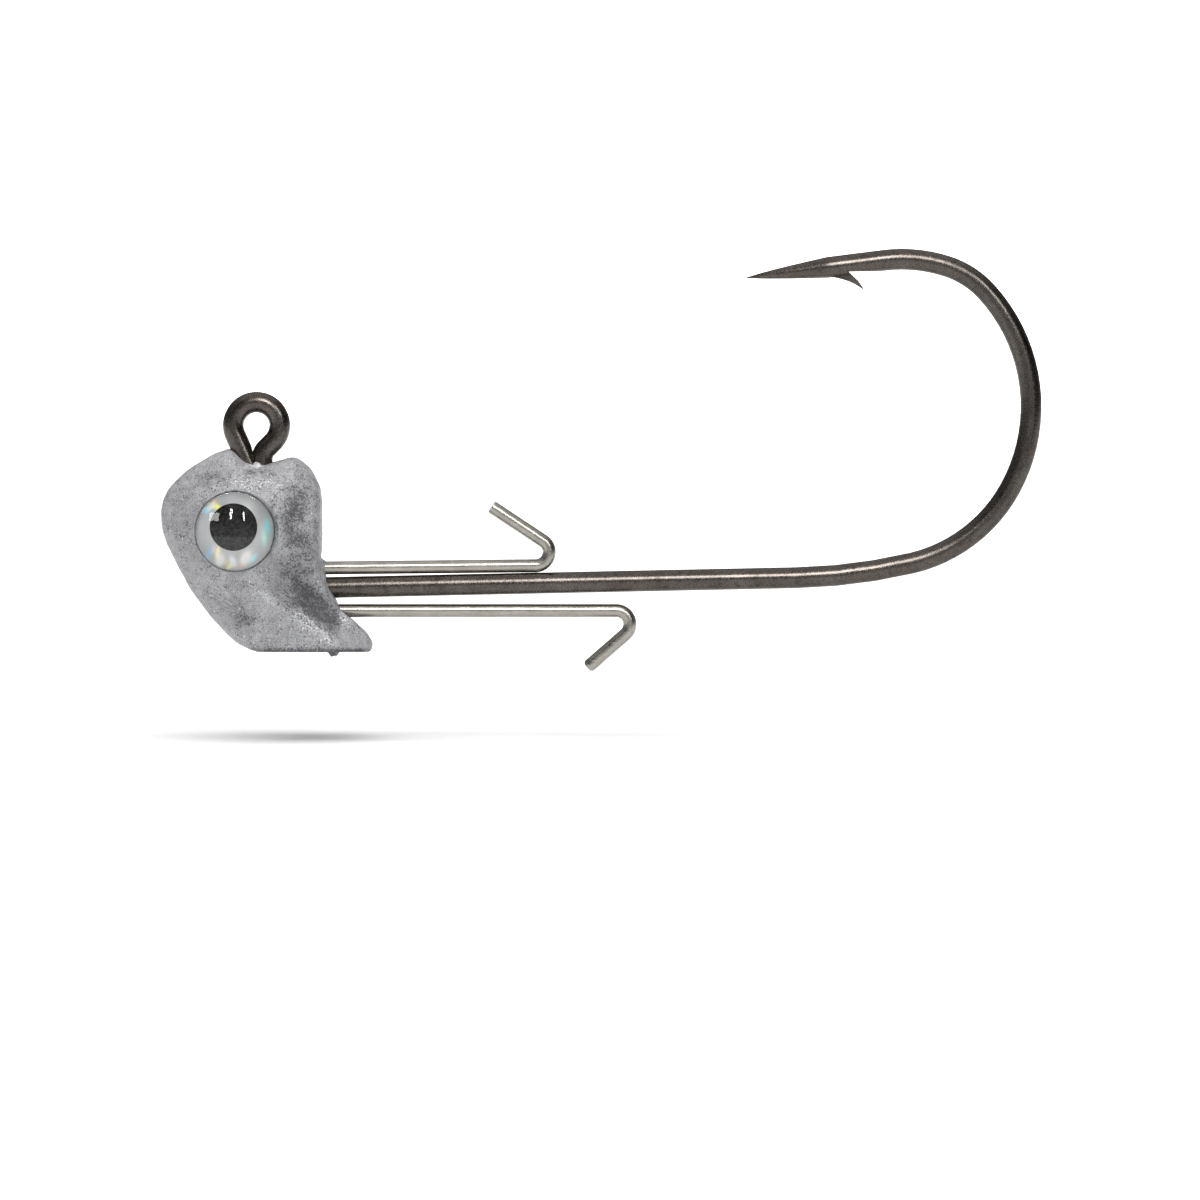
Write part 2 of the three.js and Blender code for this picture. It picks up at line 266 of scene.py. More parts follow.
def bend_wire(start, heading, moves):
    """Stations (x, z, angle, run) along a wire in the plane Y = 0.

    A move is ("run", length) or ("bend", radius, turn), with turns to the left positive.
    """
    x, z = start
    angle = math.radians(heading)
    run = 0.0
    stations = [(x, z, angle, run)]
    for kind, *size in moves:
        if kind == "run":
            steps = max(1, math.ceil(size[0] / WIRE_PITCH / 2))
            step, turn = size[0] / steps, 0.0
        else:
            steps = max(1, math.ceil(abs(size[1]) / WIRE_DEGREES))
            turn = math.radians(size[1]) / steps
            step = size[0] * abs(turn)
        chord = step if kind == "run" else 2 * size[0] * math.sin(abs(turn) / 2)
        for _ in range(steps):
            x += math.cos(angle + turn / 2) * chord
            z += math.sin(angle + turn / 2) * chord
            angle += turn
            run += step
            stations.append((x, z, angle, run))
    return stations


def wire(name, stations, section, lean=0):
    """A closed tube. section(run) gives its half sizes in the plane and across it.

    lean tilts the last face, as a cutter leaves it.
    """
    points = []
    last = len(stations) - 1
    for i, (x, z, angle, run) in enumerate(stations):
        in_plane, across = section(run)
        for k in range(WIRE_SIDES):
            turn = 2 * math.pi * k / WIRE_SIDES
            side, y = math.cos(turn) * in_plane, math.sin(turn) * across
            along = y * lean if i == last else 0
            points.append((
                x - math.sin(angle) * side + math.cos(angle) * along,
                y,
                z + math.cos(angle) * side + math.sin(angle) * along,
            ))
    faces = ring_quads(len(stations), WIRE_SIDES)
    faces += [list(range(WIRE_SIDES)), list(range(len(points) - WIRE_SIDES, len(points)))]
    piece = make_mesh(name, points, faces)
    turn_faces_out(piece)
    return piece


def rounded_ends(radius, total, edge):
    """A round section whose two ends have a small rounded edge."""
    def section(run):
        near = min(run, total - run)
        if near >= edge:
            return radius, radius
        r = radius - edge + math.sqrt(max(edge**2 - (edge - near) ** 2, 0))
        return r, r
    return section


# ---- Hook ------------------------------------------------------------------------------


def hook_body_moves():
    """From the top of the riser down, along the shank and round the bend to the point."""
    corner = 90 + SHANK["heading"]
    reach = RISER["corner_radius"] * math.tan(math.radians(corner / 2))
    return [
        ("run", RISER["top"] - SHANK["z"] - reach),
        ("bend", RISER["corner_radius"], corner),
        ("run", SHANK["length"] - reach),
        *[("bend", radius, turn) for radius, turn in BEND],
        ("run", SPEAR["straight"] - SPEAR["taper"]),
        ("run", SPEAR["taper"]),
    ]


def ring_moves():
    """From the top of the riser up and round the line tie."""
    return [
        ("bend", TIE_NECK["radius"], -TIE_NECK["turn"]),
        ("run", TIE_NECK["straight"]),
        ("bend", TIE_RING_R, TIE_RING_TURN),
    ]


def reversed_path(stations):
    """The same wire, walked from its other end."""
    total = stations[-1][3]
    return [(x, z, angle + math.pi, total - run) for x, z, angle, run in reversed(stations)]


def hook_stations():
    """The whole wire from the end of the ring's turn to the point, and where its parts start."""
    top = (RISER["x"], RISER["top"])
    ring = reversed_path(bend_wire(top, 90, ring_moves()))
    start = ring[-1][3]
    body = bend_wire(top, -90, hook_body_moves())
    stations = ring + [(x, z, angle, start + run) for x, z, angle, run in body[1:]]
    return stations, start


def hook_section(total, ring_end):
    """Half sizes along the hook: thinner at the ring, pressed in the bend, tapered at the tip."""
    bend_length = sum(radius * math.radians(turn) for radius, turn in BEND)
    bend_end = total - SPEAR["straight"]
    bend_start = bend_end - bend_length

    def section(run):
        to_tip = max(total - run, 0)
        share = min((to_tip / SPEAR["taper"]) ** SPEAR["power"], 1)
        thick = TIE_WIRE_R + (HOOK_WIRE_R - TIE_WIRE_R) * smoothstep(run, ring_end - 1, ring_end)
        radius = max(thick * share, SPEAR["tip_r"])
        pressed = smoothstep(run, bend_start, bend_start + FORGING["fade"])
        pressed *= 1 - smoothstep(run, bend_end - FORGING["fade"] / 2, bend_end)
        return radius, radius * (1 - (1 - FORGING["flatten"]) * pressed)

    return section


def tie_end():
    """The ring's cut end, drawn out along its heading until it meets the riser."""
    ring = bend_wire((RISER["x"], RISER["top"]), 90, ring_moves())
    x, z, angle, _ = ring[-1]
    way = np.array([math.cos(angle), 0, math.sin(angle)])
    grown = HOOK_WIRE_R + TIE_END["gap"]
    rows, shortest = 10, 0.05

    def reach(start):
        """How far a ray runs before it enters the riser, a cylinder about Z."""
        a = way[0] ** 2
        b = 2 * (start[0] - RISER["x"]) * way[0]
        c = (start[0] - RISER["x"]) ** 2 + start[1] ** 2 - grown**2
        inside = b * b - 4 * a * c
        hit = (-b - math.sqrt(inside)) / (2 * a) if inside > 0 else TIE_END["straight"]
        return min(max(hit, shortest), TIE_END["straight"])

    starts = []
    for k in range(WIRE_SIDES):
        turn = 2 * math.pi * k / WIRE_SIDES
        side, y = math.cos(turn) * TIE_WIRE_R, math.sin(turn) * TIE_WIRE_R
        starts.append(np.array([x - math.sin(angle) * side, y, z + math.cos(angle) * side]))
    centre = np.array([x, 0, z])
    points = [p + way * reach(p) * i / rows for i in range(rows + 1) for p in starts]
    points += [centre, centre + way * reach(centre)]
    piece = make_mesh("tie_end", points, poled_tube(rows + 1, WIRE_SIDES))
    turn_faces_out(piece)
    return piece


def wedge(name, tip, outline):
    """A prism beside the spear. outline holds (distance back, drop, half width)."""
    x, z, angle, _ = tip
    bx, bz = math.cos(angle + math.pi), math.sin(angle + math.pi)
    near, far = [], []
    for distance, drop, half in outline:
        px, pz = x + bx * distance + bz * drop, z + bz * distance - bx * drop
        near.append((px, -half, pz))
        far.append((px, half, pz))
    n = len(outline)
    faces = [list(range(n)), list(range(n, 2 * n))]
    faces += [(i, (i + 1) % n, n + (i + 1) % n, n + i) for i in range(n)]
    piece = make_mesh(name, near + far, faces)
    work = bmesh.new()
    work.from_mesh(piece.data)
    bmesh.ops.recalc_face_normals(work, faces=work.faces)
    bmesh.ops.triangulate(work, faces=[f for f in work.faces if len(f.verts) > 4])
    work.to_mesh(piece.data)
    work.free()
    return piece


def hook(material):
    stations, ring_end = hook_stations()
    tip = stations[-1]
    piece = wire("hook", stations, hook_section(tip[3], ring_end))
    root, wide, thin = BARB["root"], BARB["half_width"], BARB["tip_half_width"]
    start, drop = BARB_NOTCH["start"], BARB_NOTCH["drop"]
    combine(piece, wedge("notch", tip, [
        (start, drop, 1),
        (start, BARB["tip_drop"], 1),
        (BARB_NOTCH["end"], BARB["tip_drop"], 1),
        (BARB_NOTCH["end"], HOOK_WIRE_R, 1),
    ]), "DIFFERENCE")
    combine(piece, wedge("sliver", tip, [
        (root - 0.9, 0.3, wide),
        (root, 0.6, wide),
        (root + 0.4, 0.72, wide * 0.95),
        (root + 0.8, 0.87, wide * 0.85),
        (root + 1.2, 1.06, wide * 0.7),
        (root + 1.6, 1.31, wide * 0.45),
        (BARB["tip"], BARB["tip_drop"], thin),
        (BARB["tip"] - 0.35, (BARB["tip_drop"] + drop) / 2, wide * 0.6),
        (start, drop, wide * 0.9),
        (start - 0.3, 0.1, wide),
    ]), "UNION")
    join(piece, tie_end())
    return put(piece, ["jig_hook"], material, sharp=32)


# ---- Keepers ---------------------------------------------------------------------------


def keeper(name, node, spec, material, lean):
    """A keeper wire from inside the lead to its turned-back barb, whose end leans as cut."""
    side = math.copysign(1, spec["turn"])
    edge = 0.06  # of the rounded end, made in two steps
    stations = bend_wire((spec["inner"], spec["z"]), spec["heading"], [
        ("run", spec["leg_end"] - spec["inner"]),
        ("bend", KEEPER_BEND_R, spec["turn"] - spec["heading"]),
        ("run", spec["arm"] - edge),
        ("run", edge / 2),
        ("run", edge / 2),
    ])
    section = rounded_ends(KEEPER_WIRE_R, stations[-1][3], edge)
    piece = wire(name, stations, section, lean * side)
    return put(piece, [node], material, sharp=50)


# ---- Head ------------------------------------------------------------------------------


def outline_curve(count):
    """Evenly spaced points on a smooth closed curve through HEAD_OUTLINE."""
    knots = np.array(HEAD_OUTLINE)
    n = len(knots)
    fine = []
    for i in range(n):
        p0, p1, p2, p3 = (knots[(i + k) % n] for k in (-1, 0, 1, 2))
        t0 = 0.0
        t1 = t0 + np.linalg.norm(p1 - p0) ** 0.5
        t2 = t1 + np.linalg.norm(p2 - p1) ** 0.5
        t3 = t2 + np.linalg.norm(p3 - p2) ** 0.5
        for t in np.linspace(t1, t2, 24, endpoint=False):
            a1 = (t1 - t) / (t1 - t0) * p0 + (t - t0) / (t1 - t0) * p1
            a2 = (t2 - t) / (t2 - t1) * p1 + (t - t1) / (t2 - t1) * p2
            a3 = (t3 - t) / (t3 - t2) * p2 + (t - t2) / (t3 - t2) * p3
            b1 = (t2 - t) / (t2 - t0) * a1 + (t - t0) / (t2 - t0) * a2
            b2 = (t3 - t) / (t3 - t1) * a2 + (t - t1) / (t3 - t1) * a3
            fine.append((t2 - t) / (t2 - t1) * b1 + (t - t1) / (t2 - t1) * b2)
    fine = np.array(fine + [fine[0]])
    run = np.concatenate([[0], np.cumsum(np.linalg.norm(np.diff(fine, axis=0), axis=1))])
    even = np.linspace(0, run[-1], count, endpoint=False)
    return np.stack([np.interp(even, run, fine[:, k]) for k in (0, 1)], axis=1)


def softened(edge):
    """The mean of the outline for some way on either side of each point."""
    count = len(edge)
    mean = np.zeros_like(edge)
    for i in range(-SOFTENING["samples"], SOFTENING["samples"] + 1):
        shift = i / SOFTENING["samples"] * SOFTENING["reach"] * count
        mean += np.roll(edge, -round(shift), axis=0)
    return mean / (2 * SOFTENING["samples"] + 1)


def half_thickness(x, z):
    """Half the casting's width at places on its side view, less what each form takes off."""
    ridge = np.exp(-(((x - 2.7) / 0.95) ** 2))
    crown = 1.0 * smoothstep(z, -5.2, -2.0)
    gill = 0.4 * ridge * smoothstep(z, -11, -8) * (1 - smoothstep(z, -5.5, -2.5))
    behind_cheek = past_ridge(x, z, (2.1, -11.5))
    heel = 2.3 * smoothstep(behind_cheek, -0.6, 1.5) * (1 - smoothstep(z, -11.5, -7))
    snout = 0.35 * (1 - smoothstep(x, -6, -3.4))
    chin = 1.1 * (1 - smoothstep(x + 0.9 * (z + 12), -3.6, 0.6)) * (1 - smoothstep(z, -11, -7.5))
    return HEAD_HALF_WIDTH - crown - gill - heel - snout - chin


def squareness(dx, dz):
    """The power of the casting's cross-section: 2 is an ellipse, and more is squarer.

    It is squarer towards the foot, which is cut flat, and a little towards the back.
    """
    degrees = np.degrees(np.arctan2(dz, dx)) % 360
    foot = smoothstep(degrees, 232, 262) * (1 - smoothstep(degrees, 318, 336))
    back = 1 - smoothstep(np.minimum(degrees, 360 - degrees), 30, 55)
    return 2.5 + 5 * foot + 1.2 * back


def head_blank():
    """The casting before anything is cut: rings from one cheek over the rim to the other."""
    edge = outline_curve(HEAD_AROUND)
    mean = softened(edge)
    core = np.array(HEAD_CORE)
    power = squareness(edge[:, 0] - core[0], edge[:, 1] - core[1])
    points = []
    for i in range(1, HEAD_ACROSS):
        theta = math.pi * i / HEAD_ACROSS
        share = math.sin(theta)
        drawn = mean + (edge - mean) * share ** SOFTENING["power"]
        xz = core + (drawn - core) * share
        y = np.maximum(1 - share**power, 0) ** (1 / power) * half_thickness(xz[:, 0], xz[:, 1])
        y *= math.copysign(1, math.cos(theta)) if i * 2 != HEAD_ACROSS else 0
        points += [(a, b, c) for (a, c), b in zip(xz, y)]
    pole = float(half_thickness(np.array(core[0]), np.array(core[1])))
    points += [(core[0], pole, core[1]), (core[0], -pole, core[1])]
    piece = make_mesh("lead_head", points, poled_tube(HEAD_ACROSS - 1, HEAD_AROUND))
    turn_faces_out(piece)
    return piece


def socket_cutter(side):
    """What is cut away for an eye: a round seat with a flared mouth."""
    mouth = EYE["radius"] + SOCKET["clearance"]
    lip = SOCKET["floor"] + SOCKET["wall"]
    flared = mouth + SOCKET["flare"]
    outside = HEAD_HALF_WIDTH + 1
    profile = [
        (AXIS_R, SOCKET["floor"]),
        (mouth, SOCKET["floor"]),
        (mouth, lip),
        (flared, lip + SOCKET["flare_depth"]),
        (flared, outside),
        (AXIS_R, outside),
    ]
    return lathe("socket", profile, (EYE["x"], EYE["z"]), side)


def blob(name, centre, radii, lumps, seed):
    """A small lump of lead, an ellipsoid pushed about by noise."""
    work = bmesh.new()
    bmesh.ops.create_icosphere(work, subdivisions=4, radius=1)
    for vert in work.verts:
        push = 1 + lumps * noise.noise(vert.co * 1.7 + Vector((seed, 0, 0)))
        vert.co = Vector([c + v * r * push for c, v, r in zip(centre, vert.co, radii)])
    mesh = bpy.data.meshes.new(name)
    work.to_mesh(mesh)
    work.free()
    piece = bpy.data.objects.new(name, mesh)
    bpy.context.scene.collection.objects.link(piece)
    return piece


def collar(name, x, z, heading, radius, length, grow, seed):
    """Lead drawn up a little way round a wire where it leaves the casting."""
    stations = bend_wire((x - length, z), heading, [("run", 2 * length)])
    clear = 0.015  # of the wire, where the collar is thinnest

    def section(run):
        r = radius + grow * (1 - smoothstep(run, length * 0.8, 2 * length)) + clear
        return r, r

    piece = wire(name, stations, section)
    for vert in piece.data.vertices:
        away = Vector((0, vert.co.y, vert.co.z - z))
        lump = noise.noise(vert.co * 2.2 + Vector((seed, seed, 0)))
        vert.co.x += 0.25 * length * lump
        vert.co += away.normalized() * 0.05 * lump
    return piece


def lead_lumps():
    """What the casting has beyond the mould's own form."""
    return [
        blob("gate_nub", (4.86, 0.15, BASE_Z), (0.36, 0.4, 0.3), 0.35, 3.0),
        blob("tie_flash", (0.03, 0, -2.56), (0.3, 0.98, 0.3), 0.35, 7.0),
        collar("upper_collar", 4.2, UPPER_KEEPER["z"], 0, KEEPER_WIRE_R, 0.2, 0.12, 1.0),
        collar("shank_collar", 4.32, SHANK["z"] + 0.09, 1.2, HOOK_WIRE_R, 0.14, 0.1, 2.0),
        collar("lower_collar", 4.95, LOWER_KEEPER["z"], 0, KEEPER_WIRE_R, 0.2, 0.1, 4.0),
    ]


def cast_surface(point):
    """How far the bare lead stands off the mould's form at a point, in millimetres."""
    swell = noise.noise(point * 0.55) * 0.05
    ripple = noise.noise(point * 1.9 + Vector((9, 0, 0))) * 0.022
    grain = noise.fractal(point * 5.5, 0.7, 2.1, 3) * 0.012
    pit_place = noise.noise(point * 2.3 + Vector((0, 31, 0)))
    pits = -0.07 * max(pit_place - 0.52, 0) / 0.3
    chill = Vector((point.x - CHILL_PIT[0], (abs(point.y) - 3.2) * 0.5, point.z - CHILL_PIT[1]))
    sink = -0.12 * math.exp(-((chill.length / 0.42) ** 2)) * (0.6 + noise.noise(point * 4))
    return swell + ripple + grain + pits + sink


def roughen_casting(piece):
    """Moves each point of the surface along its normal, and raises the parting line."""
    mesh = piece.data
    seat = EYE["radius"] + SOCKET["clearance"] + 0.02
    normals = [v.normal.copy() for v in mesh.vertices]
    for vert, normal in zip(mesh.vertices, normals):
        p = vert.co.copy()
        from_eye = math.hypot(p.x - EYE["x"], p.z - EYE["z"])
        in_socket = from_eye < seat and abs(p.y) < SOCKET["floor"] + 0.9
        on_base = p.z < BASE_Z + 0.03
        push = cast_surface(p) * (0.15 if in_socket or on_base else 1)
        seam = spot((p.y - 0.05 * noise.noise(p * 0.8)) / PARTING_LINE["width"])
        seam *= 0 if on_base else 0.6 + 0.6 * noise.noise(p * 1.3)
        push += PARTING_LINE["height"] * seam
        vert.co = p + normal * min(push, SKIN_LIMIT)


def shade_and_dark_patches_at(p):
    """Where the casting is painted darker: painted shade in the cove, the chill pit, the saddle
    under the line tie and along the base, and darker patches behind the cheek, at the gill, before
    the brow and round the gate nub.
    """
    wander = noise.noise(p * 0.9) * 0.8
    valley = spot((p.x - 2.75 + wander) / 0.95)
    valley *= float(smoothstep(p.z, -13.6, -10.5) * (1 - smoothstep(p.z, -4.5, -2.2)))
    # Painted shade in the cove behind the heel ridge.
    cove = spot((past_ridge(p.x, p.z, (4.3, -11.9)) + 0.3 * wander) / 0.75)
    cove *= float(smoothstep(p.x, 2.2, 3.6) * (1 - smoothstep(p.x, 4.9, 5.7)))
    cove *= float(1 - smoothstep(p.z, -10.2, -9))
    gill = spot((p.x - 2.4 + 0.5 * wander) / 0.8, (p.z + 5.8) / 1.4)
    brow = spot((p.z + 3.4 + 0.35 * wander) / 0.6, (p.x + 2.9) / 1.5)
    # Painted shade in the chill pit.
    pit = spot((p.x - CHILL_PIT[0]) / 0.5, (p.z - CHILL_PIT[1]) / 0.42)
    # Painted shade along the edge of the base.
    foot = spot((p.z + 14.44 + 0.05 * wander) / 0.2) * float(smoothstep(p.x, -2, -1))
    foot *= 0.35 + 0.65 * float(smoothstep(abs(p.y), 0.8, 2.4))
    # Painted shadow in the saddle under the line tie.
    saddle = spot((p.z + 3.02 + 0.1 * wander) / 0.2, p.x / 1.1)
    nub = spot((p.x - 4.86) / 0.45, (p.z + 14.65) / 0.3)
    total = 0.7 * valley + 1.5 * cove + 0.6 * gill + 0.6 * brow + 1.2 * pit + 1.6 * foot
    return min(total + 0.5 * saddle + nub, 1.3)


def painted_highlight_at(p):
    """Where the lead has a painted highlight: on the brow under the line tie, on the heel ridge and
    its fin, and on its flash.
    """
    wander = noise.noise(p * 1.1 + Vector((5, 0, 0))) * 0.6
    # Painted highlight on the brow under the line tie.
    brow = spot((p.z + 3.75 + 0.4 * wander) / 0.45, (p.x - 0.1) / 2.3)
    # Painted highlight along the heel ridge.
    ridge = spot((past_ridge(p.x, p.z, (3.3, -12.4)) + 0.3 * wander) / 0.4)
    ridge *= float(smoothstep(p.x, 1.8, 2.8) * (1 - smoothstep(p.x, 4.6, 5.4)))
    # Painted highlight on the heel's fin.
    fin = spot((p.x - 5.6) / 0.4, (p.z + 12.5) / 0.4)
    # Painted highlight on the flash at the line tie's foot.
    flash = spot((p.x + 0.05) / 0.6, (p.z + 2.45) / 0.3)
    return min(0.7 * brow + 1.08 * ridge + fin + 2 * flash, 1.2)


def store(mesh, name, values):
    """Keeps a value for each point of the mesh, for its material to read."""
    mesh.attributes.new(name, "FLOAT", "POINT").data.foreach_set("value", values)


def lead_head(material):
    """The casting: cut flat below and behind, with its sockets, lumps and rough skin."""
    piece = head_blank()
    far = 20
    combine(piece, box("under", (-far, -far, BASE_Z - far), (far, far, BASE_Z)), "DIFFERENCE")
    behind = box("behind", (BAIT_FACE["x"], -far, BAIT_FACE["low"]), (far, far, BAIT_FACE["high"]))
    combine(piece, behind, "DIFFERENCE")
    combine(piece, socket_cutter(1), "DIFFERENCE")
    combine(piece, socket_cutter(-1), "DIFFERENCE")
    join(piece, *lead_lumps())
    remesh = piece.modifiers.new("skin", "REMESH")
    remesh.mode = "VOXEL"
    remesh.voxel_size = HEAD_VOXEL
    smooth = piece.modifiers.new("soften", "SMOOTH")
    smooth.factor = 0.5
    smooth.iterations = 3
    apply_modifiers(piece)
    roughen_casting(piece)
    places = [v.co.copy() for v in piece.data.vertices]
    # Painted shade and darker patches, stored for the material to darken the lead by.
    store(piece.data, "shade_and_dark_patches", [shade_and_dark_patches_at(p) for p in places])
    # Painted highlight, stored for the material to lighten the lead by.
    store(piece.data, "painted_highlight", [painted_highlight_at(p) for p in places])
    return put(piece, ["head_casting"], material, sharp=75)


# ---- Eyes ------------------------------------------------------------------------------


def disc(name, radius, y, side, thickness, dx=0.0, dz=0.0, rings=FOIL_RINGS):
    """A thin disc whose face is at y, dense enough for colours to be stored on its points."""
    profile = [(AXIS_R, y - thickness), (radius, y - thickness)]
    profile += [(radius * (1 - i / rings) + AXIS_R, y) for i in range(rings + 1)]
    return lathe(name, profile, (EYE["x"] + dx, EYE["z"] + dz), side)


FOIL_SILVER = (0.56, 0.57, 0.57)
FLARE_GAIN = 1.35
FOIL_FLARES = [  # (u, v, width, height, turn) of each flare, and the colour that it adds
    ((-0.42, -0.5, 0.05, 0.12, -12), (0.6, 0.45, 0.05)),
    ((-0.52, -0.44, 0.03, 0.1, -20), (0.5, 0.1, 0.0)),
    ((-0.62, -0.52, 0.07, 0.18, -30), (-0.1, 0.12, 0.3)),
    ((-0.36, -0.72, 0.1, 0.16, -15), (0.5, 0.48, 0.42)),
    ((-0.2, -0.8, 0.03, 0.1, 10), (0.3, 0.2, -0.2)),
    ((-0.05, -0.74, 0.08, 0.14, 20), (0.5, 0.48, 0.5)),
    ((-0.12, -0.86, 0.05, 0.1, -38), (0.4, 0.36, 0.1)),
    ((0.14, -0.84, 0.06, 0.05, 0), (0.2, -0.1, -0.1)),
    ((0.26, -0.66, 0.12, 0.2, -28), (0.5, 0.5, 0.45)),
    ((0.46, -0.66, 0.06, 0.14, -35), (0.0, 0.24, 0.26)),
    ((0.8, 0.12, 0.06, 0.2, 8), (-0.22, 0.2, 0.22)),
    ((0.72, -0.16, 0.07, 0.22, 5), (0.05, 0.3, 0.24)),
    ((-0.6, 0.62, 0.1, 0.06, 35), (0.9, 0.9, 0.7)),
    ((-0.44, 0.6, 0.09, 0.05, -25), (0.8, 0.7, -0.3)),
    ((-0.7, 0.52, 0.07, 0.06, 0), (-0.2, 0.3, 0.9)),
    ((-0.52, 0.74, 0.05, 0.05, 30), (0.6, 0.1, -0.1)),
]


def foil_tint(u, v):
    """The foil's colour at a place on the eye, u to the rear and v up, both from -1 to 1."""
    sheen = 0.5 + 0.5 * noise.noise(Vector((u * 2.2, v * 2.2, 4.0)))
    colour = Vector(FOIL_SILVER) * (0.86 + 0.28 * sheen)
    for (centre_u, centre_v, width, height, turn), tint in FOIL_FLARES:
        c, s = math.cos(math.radians(turn)), math.sin(math.radians(turn))
        along = (u - centre_u) * c + (v - centre_v) * s
        across = (v - centre_v) * c - (u - centre_u) * s
        colour += FLARE_GAIN * Vector(tint) * spot(along / width, across / height)
    return [min(max(c, 0.02), 1.0) for c in colour]


def foil(name, node, side, material):
    """The holographic disc, with its colours stored on its points."""
    piece = disc(name, EYE["radius"] - FOIL["inset"], EYE_BACK, side, FOIL["thickness"])
    tint = piece.data.color_attributes.new("foil_tint", "FLOAT_COLOR", "POINT")
    for vert, colour in zip(piece.data.vertices, tint.data):
        u = (vert.co.x - EYE["x"]) / EYE["radius"]
        v = (vert.co.z - EYE["z"]) / EYE["radius"]
        colour.color = (*foil_tint(u, v), 1.0)
    return put(piece, [node], material)


def pupil(name, node, side, material):
    y = EYE_BACK + PUPIL["proud"]
    piece = disc(name, PUPIL["radius"], y, side, PUPIL["thickness"], PUPIL["dx"], PUPIL["dz"])
    return put(piece, [node], material)


def dome(name, node, side, material):
    """The clear cap: flat back set into the foil's face, short rim and lens-shaped front."""
    rise = DOME["height"] - DOME["rim"]
    outer = EYE["radius"]
    ball = (outer**2 + rise**2) / (2 * rise)
    top = EYE_BACK + DOME["height"]
    back = EYE_BACK - DOME["sunk"]
    edge = DOME["edge"]
    crown = []
    for i in range(DOME_RINGS + 1):
        r = (outer - edge) * (1 - i / DOME_RINGS) + AXIS_R
        crown.append((r, top - ball + math.sqrt(ball**2 - r**2)))
    rim_y = crown[0][1]
    profile = [(AXIS_R, back), (outer - 0.05, back), (outer - 0.01, back + 0.04)]
    for i in range(DOME_EDGE_RINGS + 1):
        turn = math.pi / 2 * i / DOME_EDGE_RINGS
        r = outer - edge + edge * math.cos(turn)
        profile.append((r, rim_y - edge * 0.75 * (1 - math.sin(turn))))
    piece = lathe(name, profile + crown[1:], (EYE["x"], EYE["z"]), side)
    return put(piece, [node], material, sharp=60)


def pad(name, node, side, material):
    piece = disc(name, PAD["radius"], PAD["front"], side, PAD["thickness"], rings=PAD_RINGS)
    return put(piece, [node], material)


# ---- Materials -------------------------------------------------------------------------


class Nodes:
    """Short calls for building a material's node tree."""

    def __init__(self, name):
        self.material = bpy.data.materials.new(name)
        self.material.use_nodes = True
        self.tree = self.material.node_tree
        self.shader = self.tree.nodes["Principled BSDF"]
        coordinates = self.tree.nodes.new("ShaderNodeTexCoord")
        self.place = coordinates.outputs["Object"]

    def link(self, source, target):
        """Joins an output to an input."""
        self.tree.links.new(source, target)

    def set(self, **values):
        """Sets constants on the shader's own sockets."""
        for name, value in values.items():
            self.shader.inputs[name.replace("_", " ")].default_value = value

    def stretched(self, scale):
        """The place, scaled along each axis."""
        mapping = self.tree.nodes.new("ShaderNodeMapping")
        mapping.inputs["Scale"].default_value = scale
        self.link(self.place, mapping.inputs["Vector"])
        return mapping.outputs["Vector"]

    def noise(self, size_mm, detail=2.0, rough=0.5, where=None):
        """Noise with features of about this size."""
        node = self.tree.nodes.new("ShaderNodeTexNoise")
        node.inputs["Scale"].default_value = 1 / (size_mm * MM)
        node.inputs["Detail"].default_value = detail
        node.inputs["Roughness"].default_value = rough
        self.link(where or self.place, node.inputs["Vector"])
        return node.outputs["Fac"]

    def ramp(self, value, *stops):
        """Colours, or greys, by value. Each stop is (position, colour)."""
        node = self.tree.nodes.new("ShaderNodeValToRGB")
        elements = node.color_ramp.elements
        while len(elements) < len(stops):
            elements.new(0.5)
        for element, (position, colour) in zip(elements, stops):
            element.position = position
            element.color = (*colour, 1) if isinstance(colour, tuple) else (colour,) * 3 + (1,)
        self.link(value, node.inputs["Fac"])
        return node.outputs["Color"]

    def range(self, value, low, high, to_low=0.0, to_high=1.0):
        """The value moved from one range to another, and kept inside it."""
        node = self.tree.nodes.new("ShaderNodeMapRange")
        self.link(value, node.inputs["Value"])
        node.inputs["From Min"].default_value = low
        node.inputs["From Max"].default_value = high
        node.inputs["To Min"].default_value = to_low
        node.inputs["To Max"].default_value = to_high
        return node.outputs["Result"]

    def math(self, operation, a, b):
        node = self.tree.nodes.new("ShaderNodeMath")
        node.operation = operation
        for socket, value in zip(node.inputs, (a, b)):
            if isinstance(value, (int, float)):
                socket.default_value = value
            else:
                self.link(value, socket)
        return node.outputs["Value"]

    def mix(self, factor, a, b, blend="MIX"):
        node = self.tree.nodes.new("ShaderNodeMix")
        node.data_type = "RGBA"
        node.blend_type = blend
        sockets = (node.inputs["Factor"], node.inputs[6], node.inputs[7])  # 6 and 7 are the colours
        for socket, value in zip(sockets, (factor, a, b)):
            if isinstance(value, (int, float)):
                socket.default_value = value
            elif isinstance(value, tuple):
                socket.default_value = (*value, 1)
            else:
                self.link(value, socket)
        return node.outputs[2]

    def attribute(self, name, output="Fac"):
        node = self.tree.nodes.new("ShaderNodeAttribute")
        node.attribute_name = name
        return node.outputs[output]

    def bump(self, height, distance_mm, strength=1.0):
        node = self.tree.nodes.new("ShaderNodeBump")
        node.inputs["Strength"].default_value = strength
        node.inputs["Distance"].default_value = distance_mm * MM
        self.link(height, node.inputs["Height"])
        self.link(node.outputs["Normal"], self.shader.inputs["Normal"])


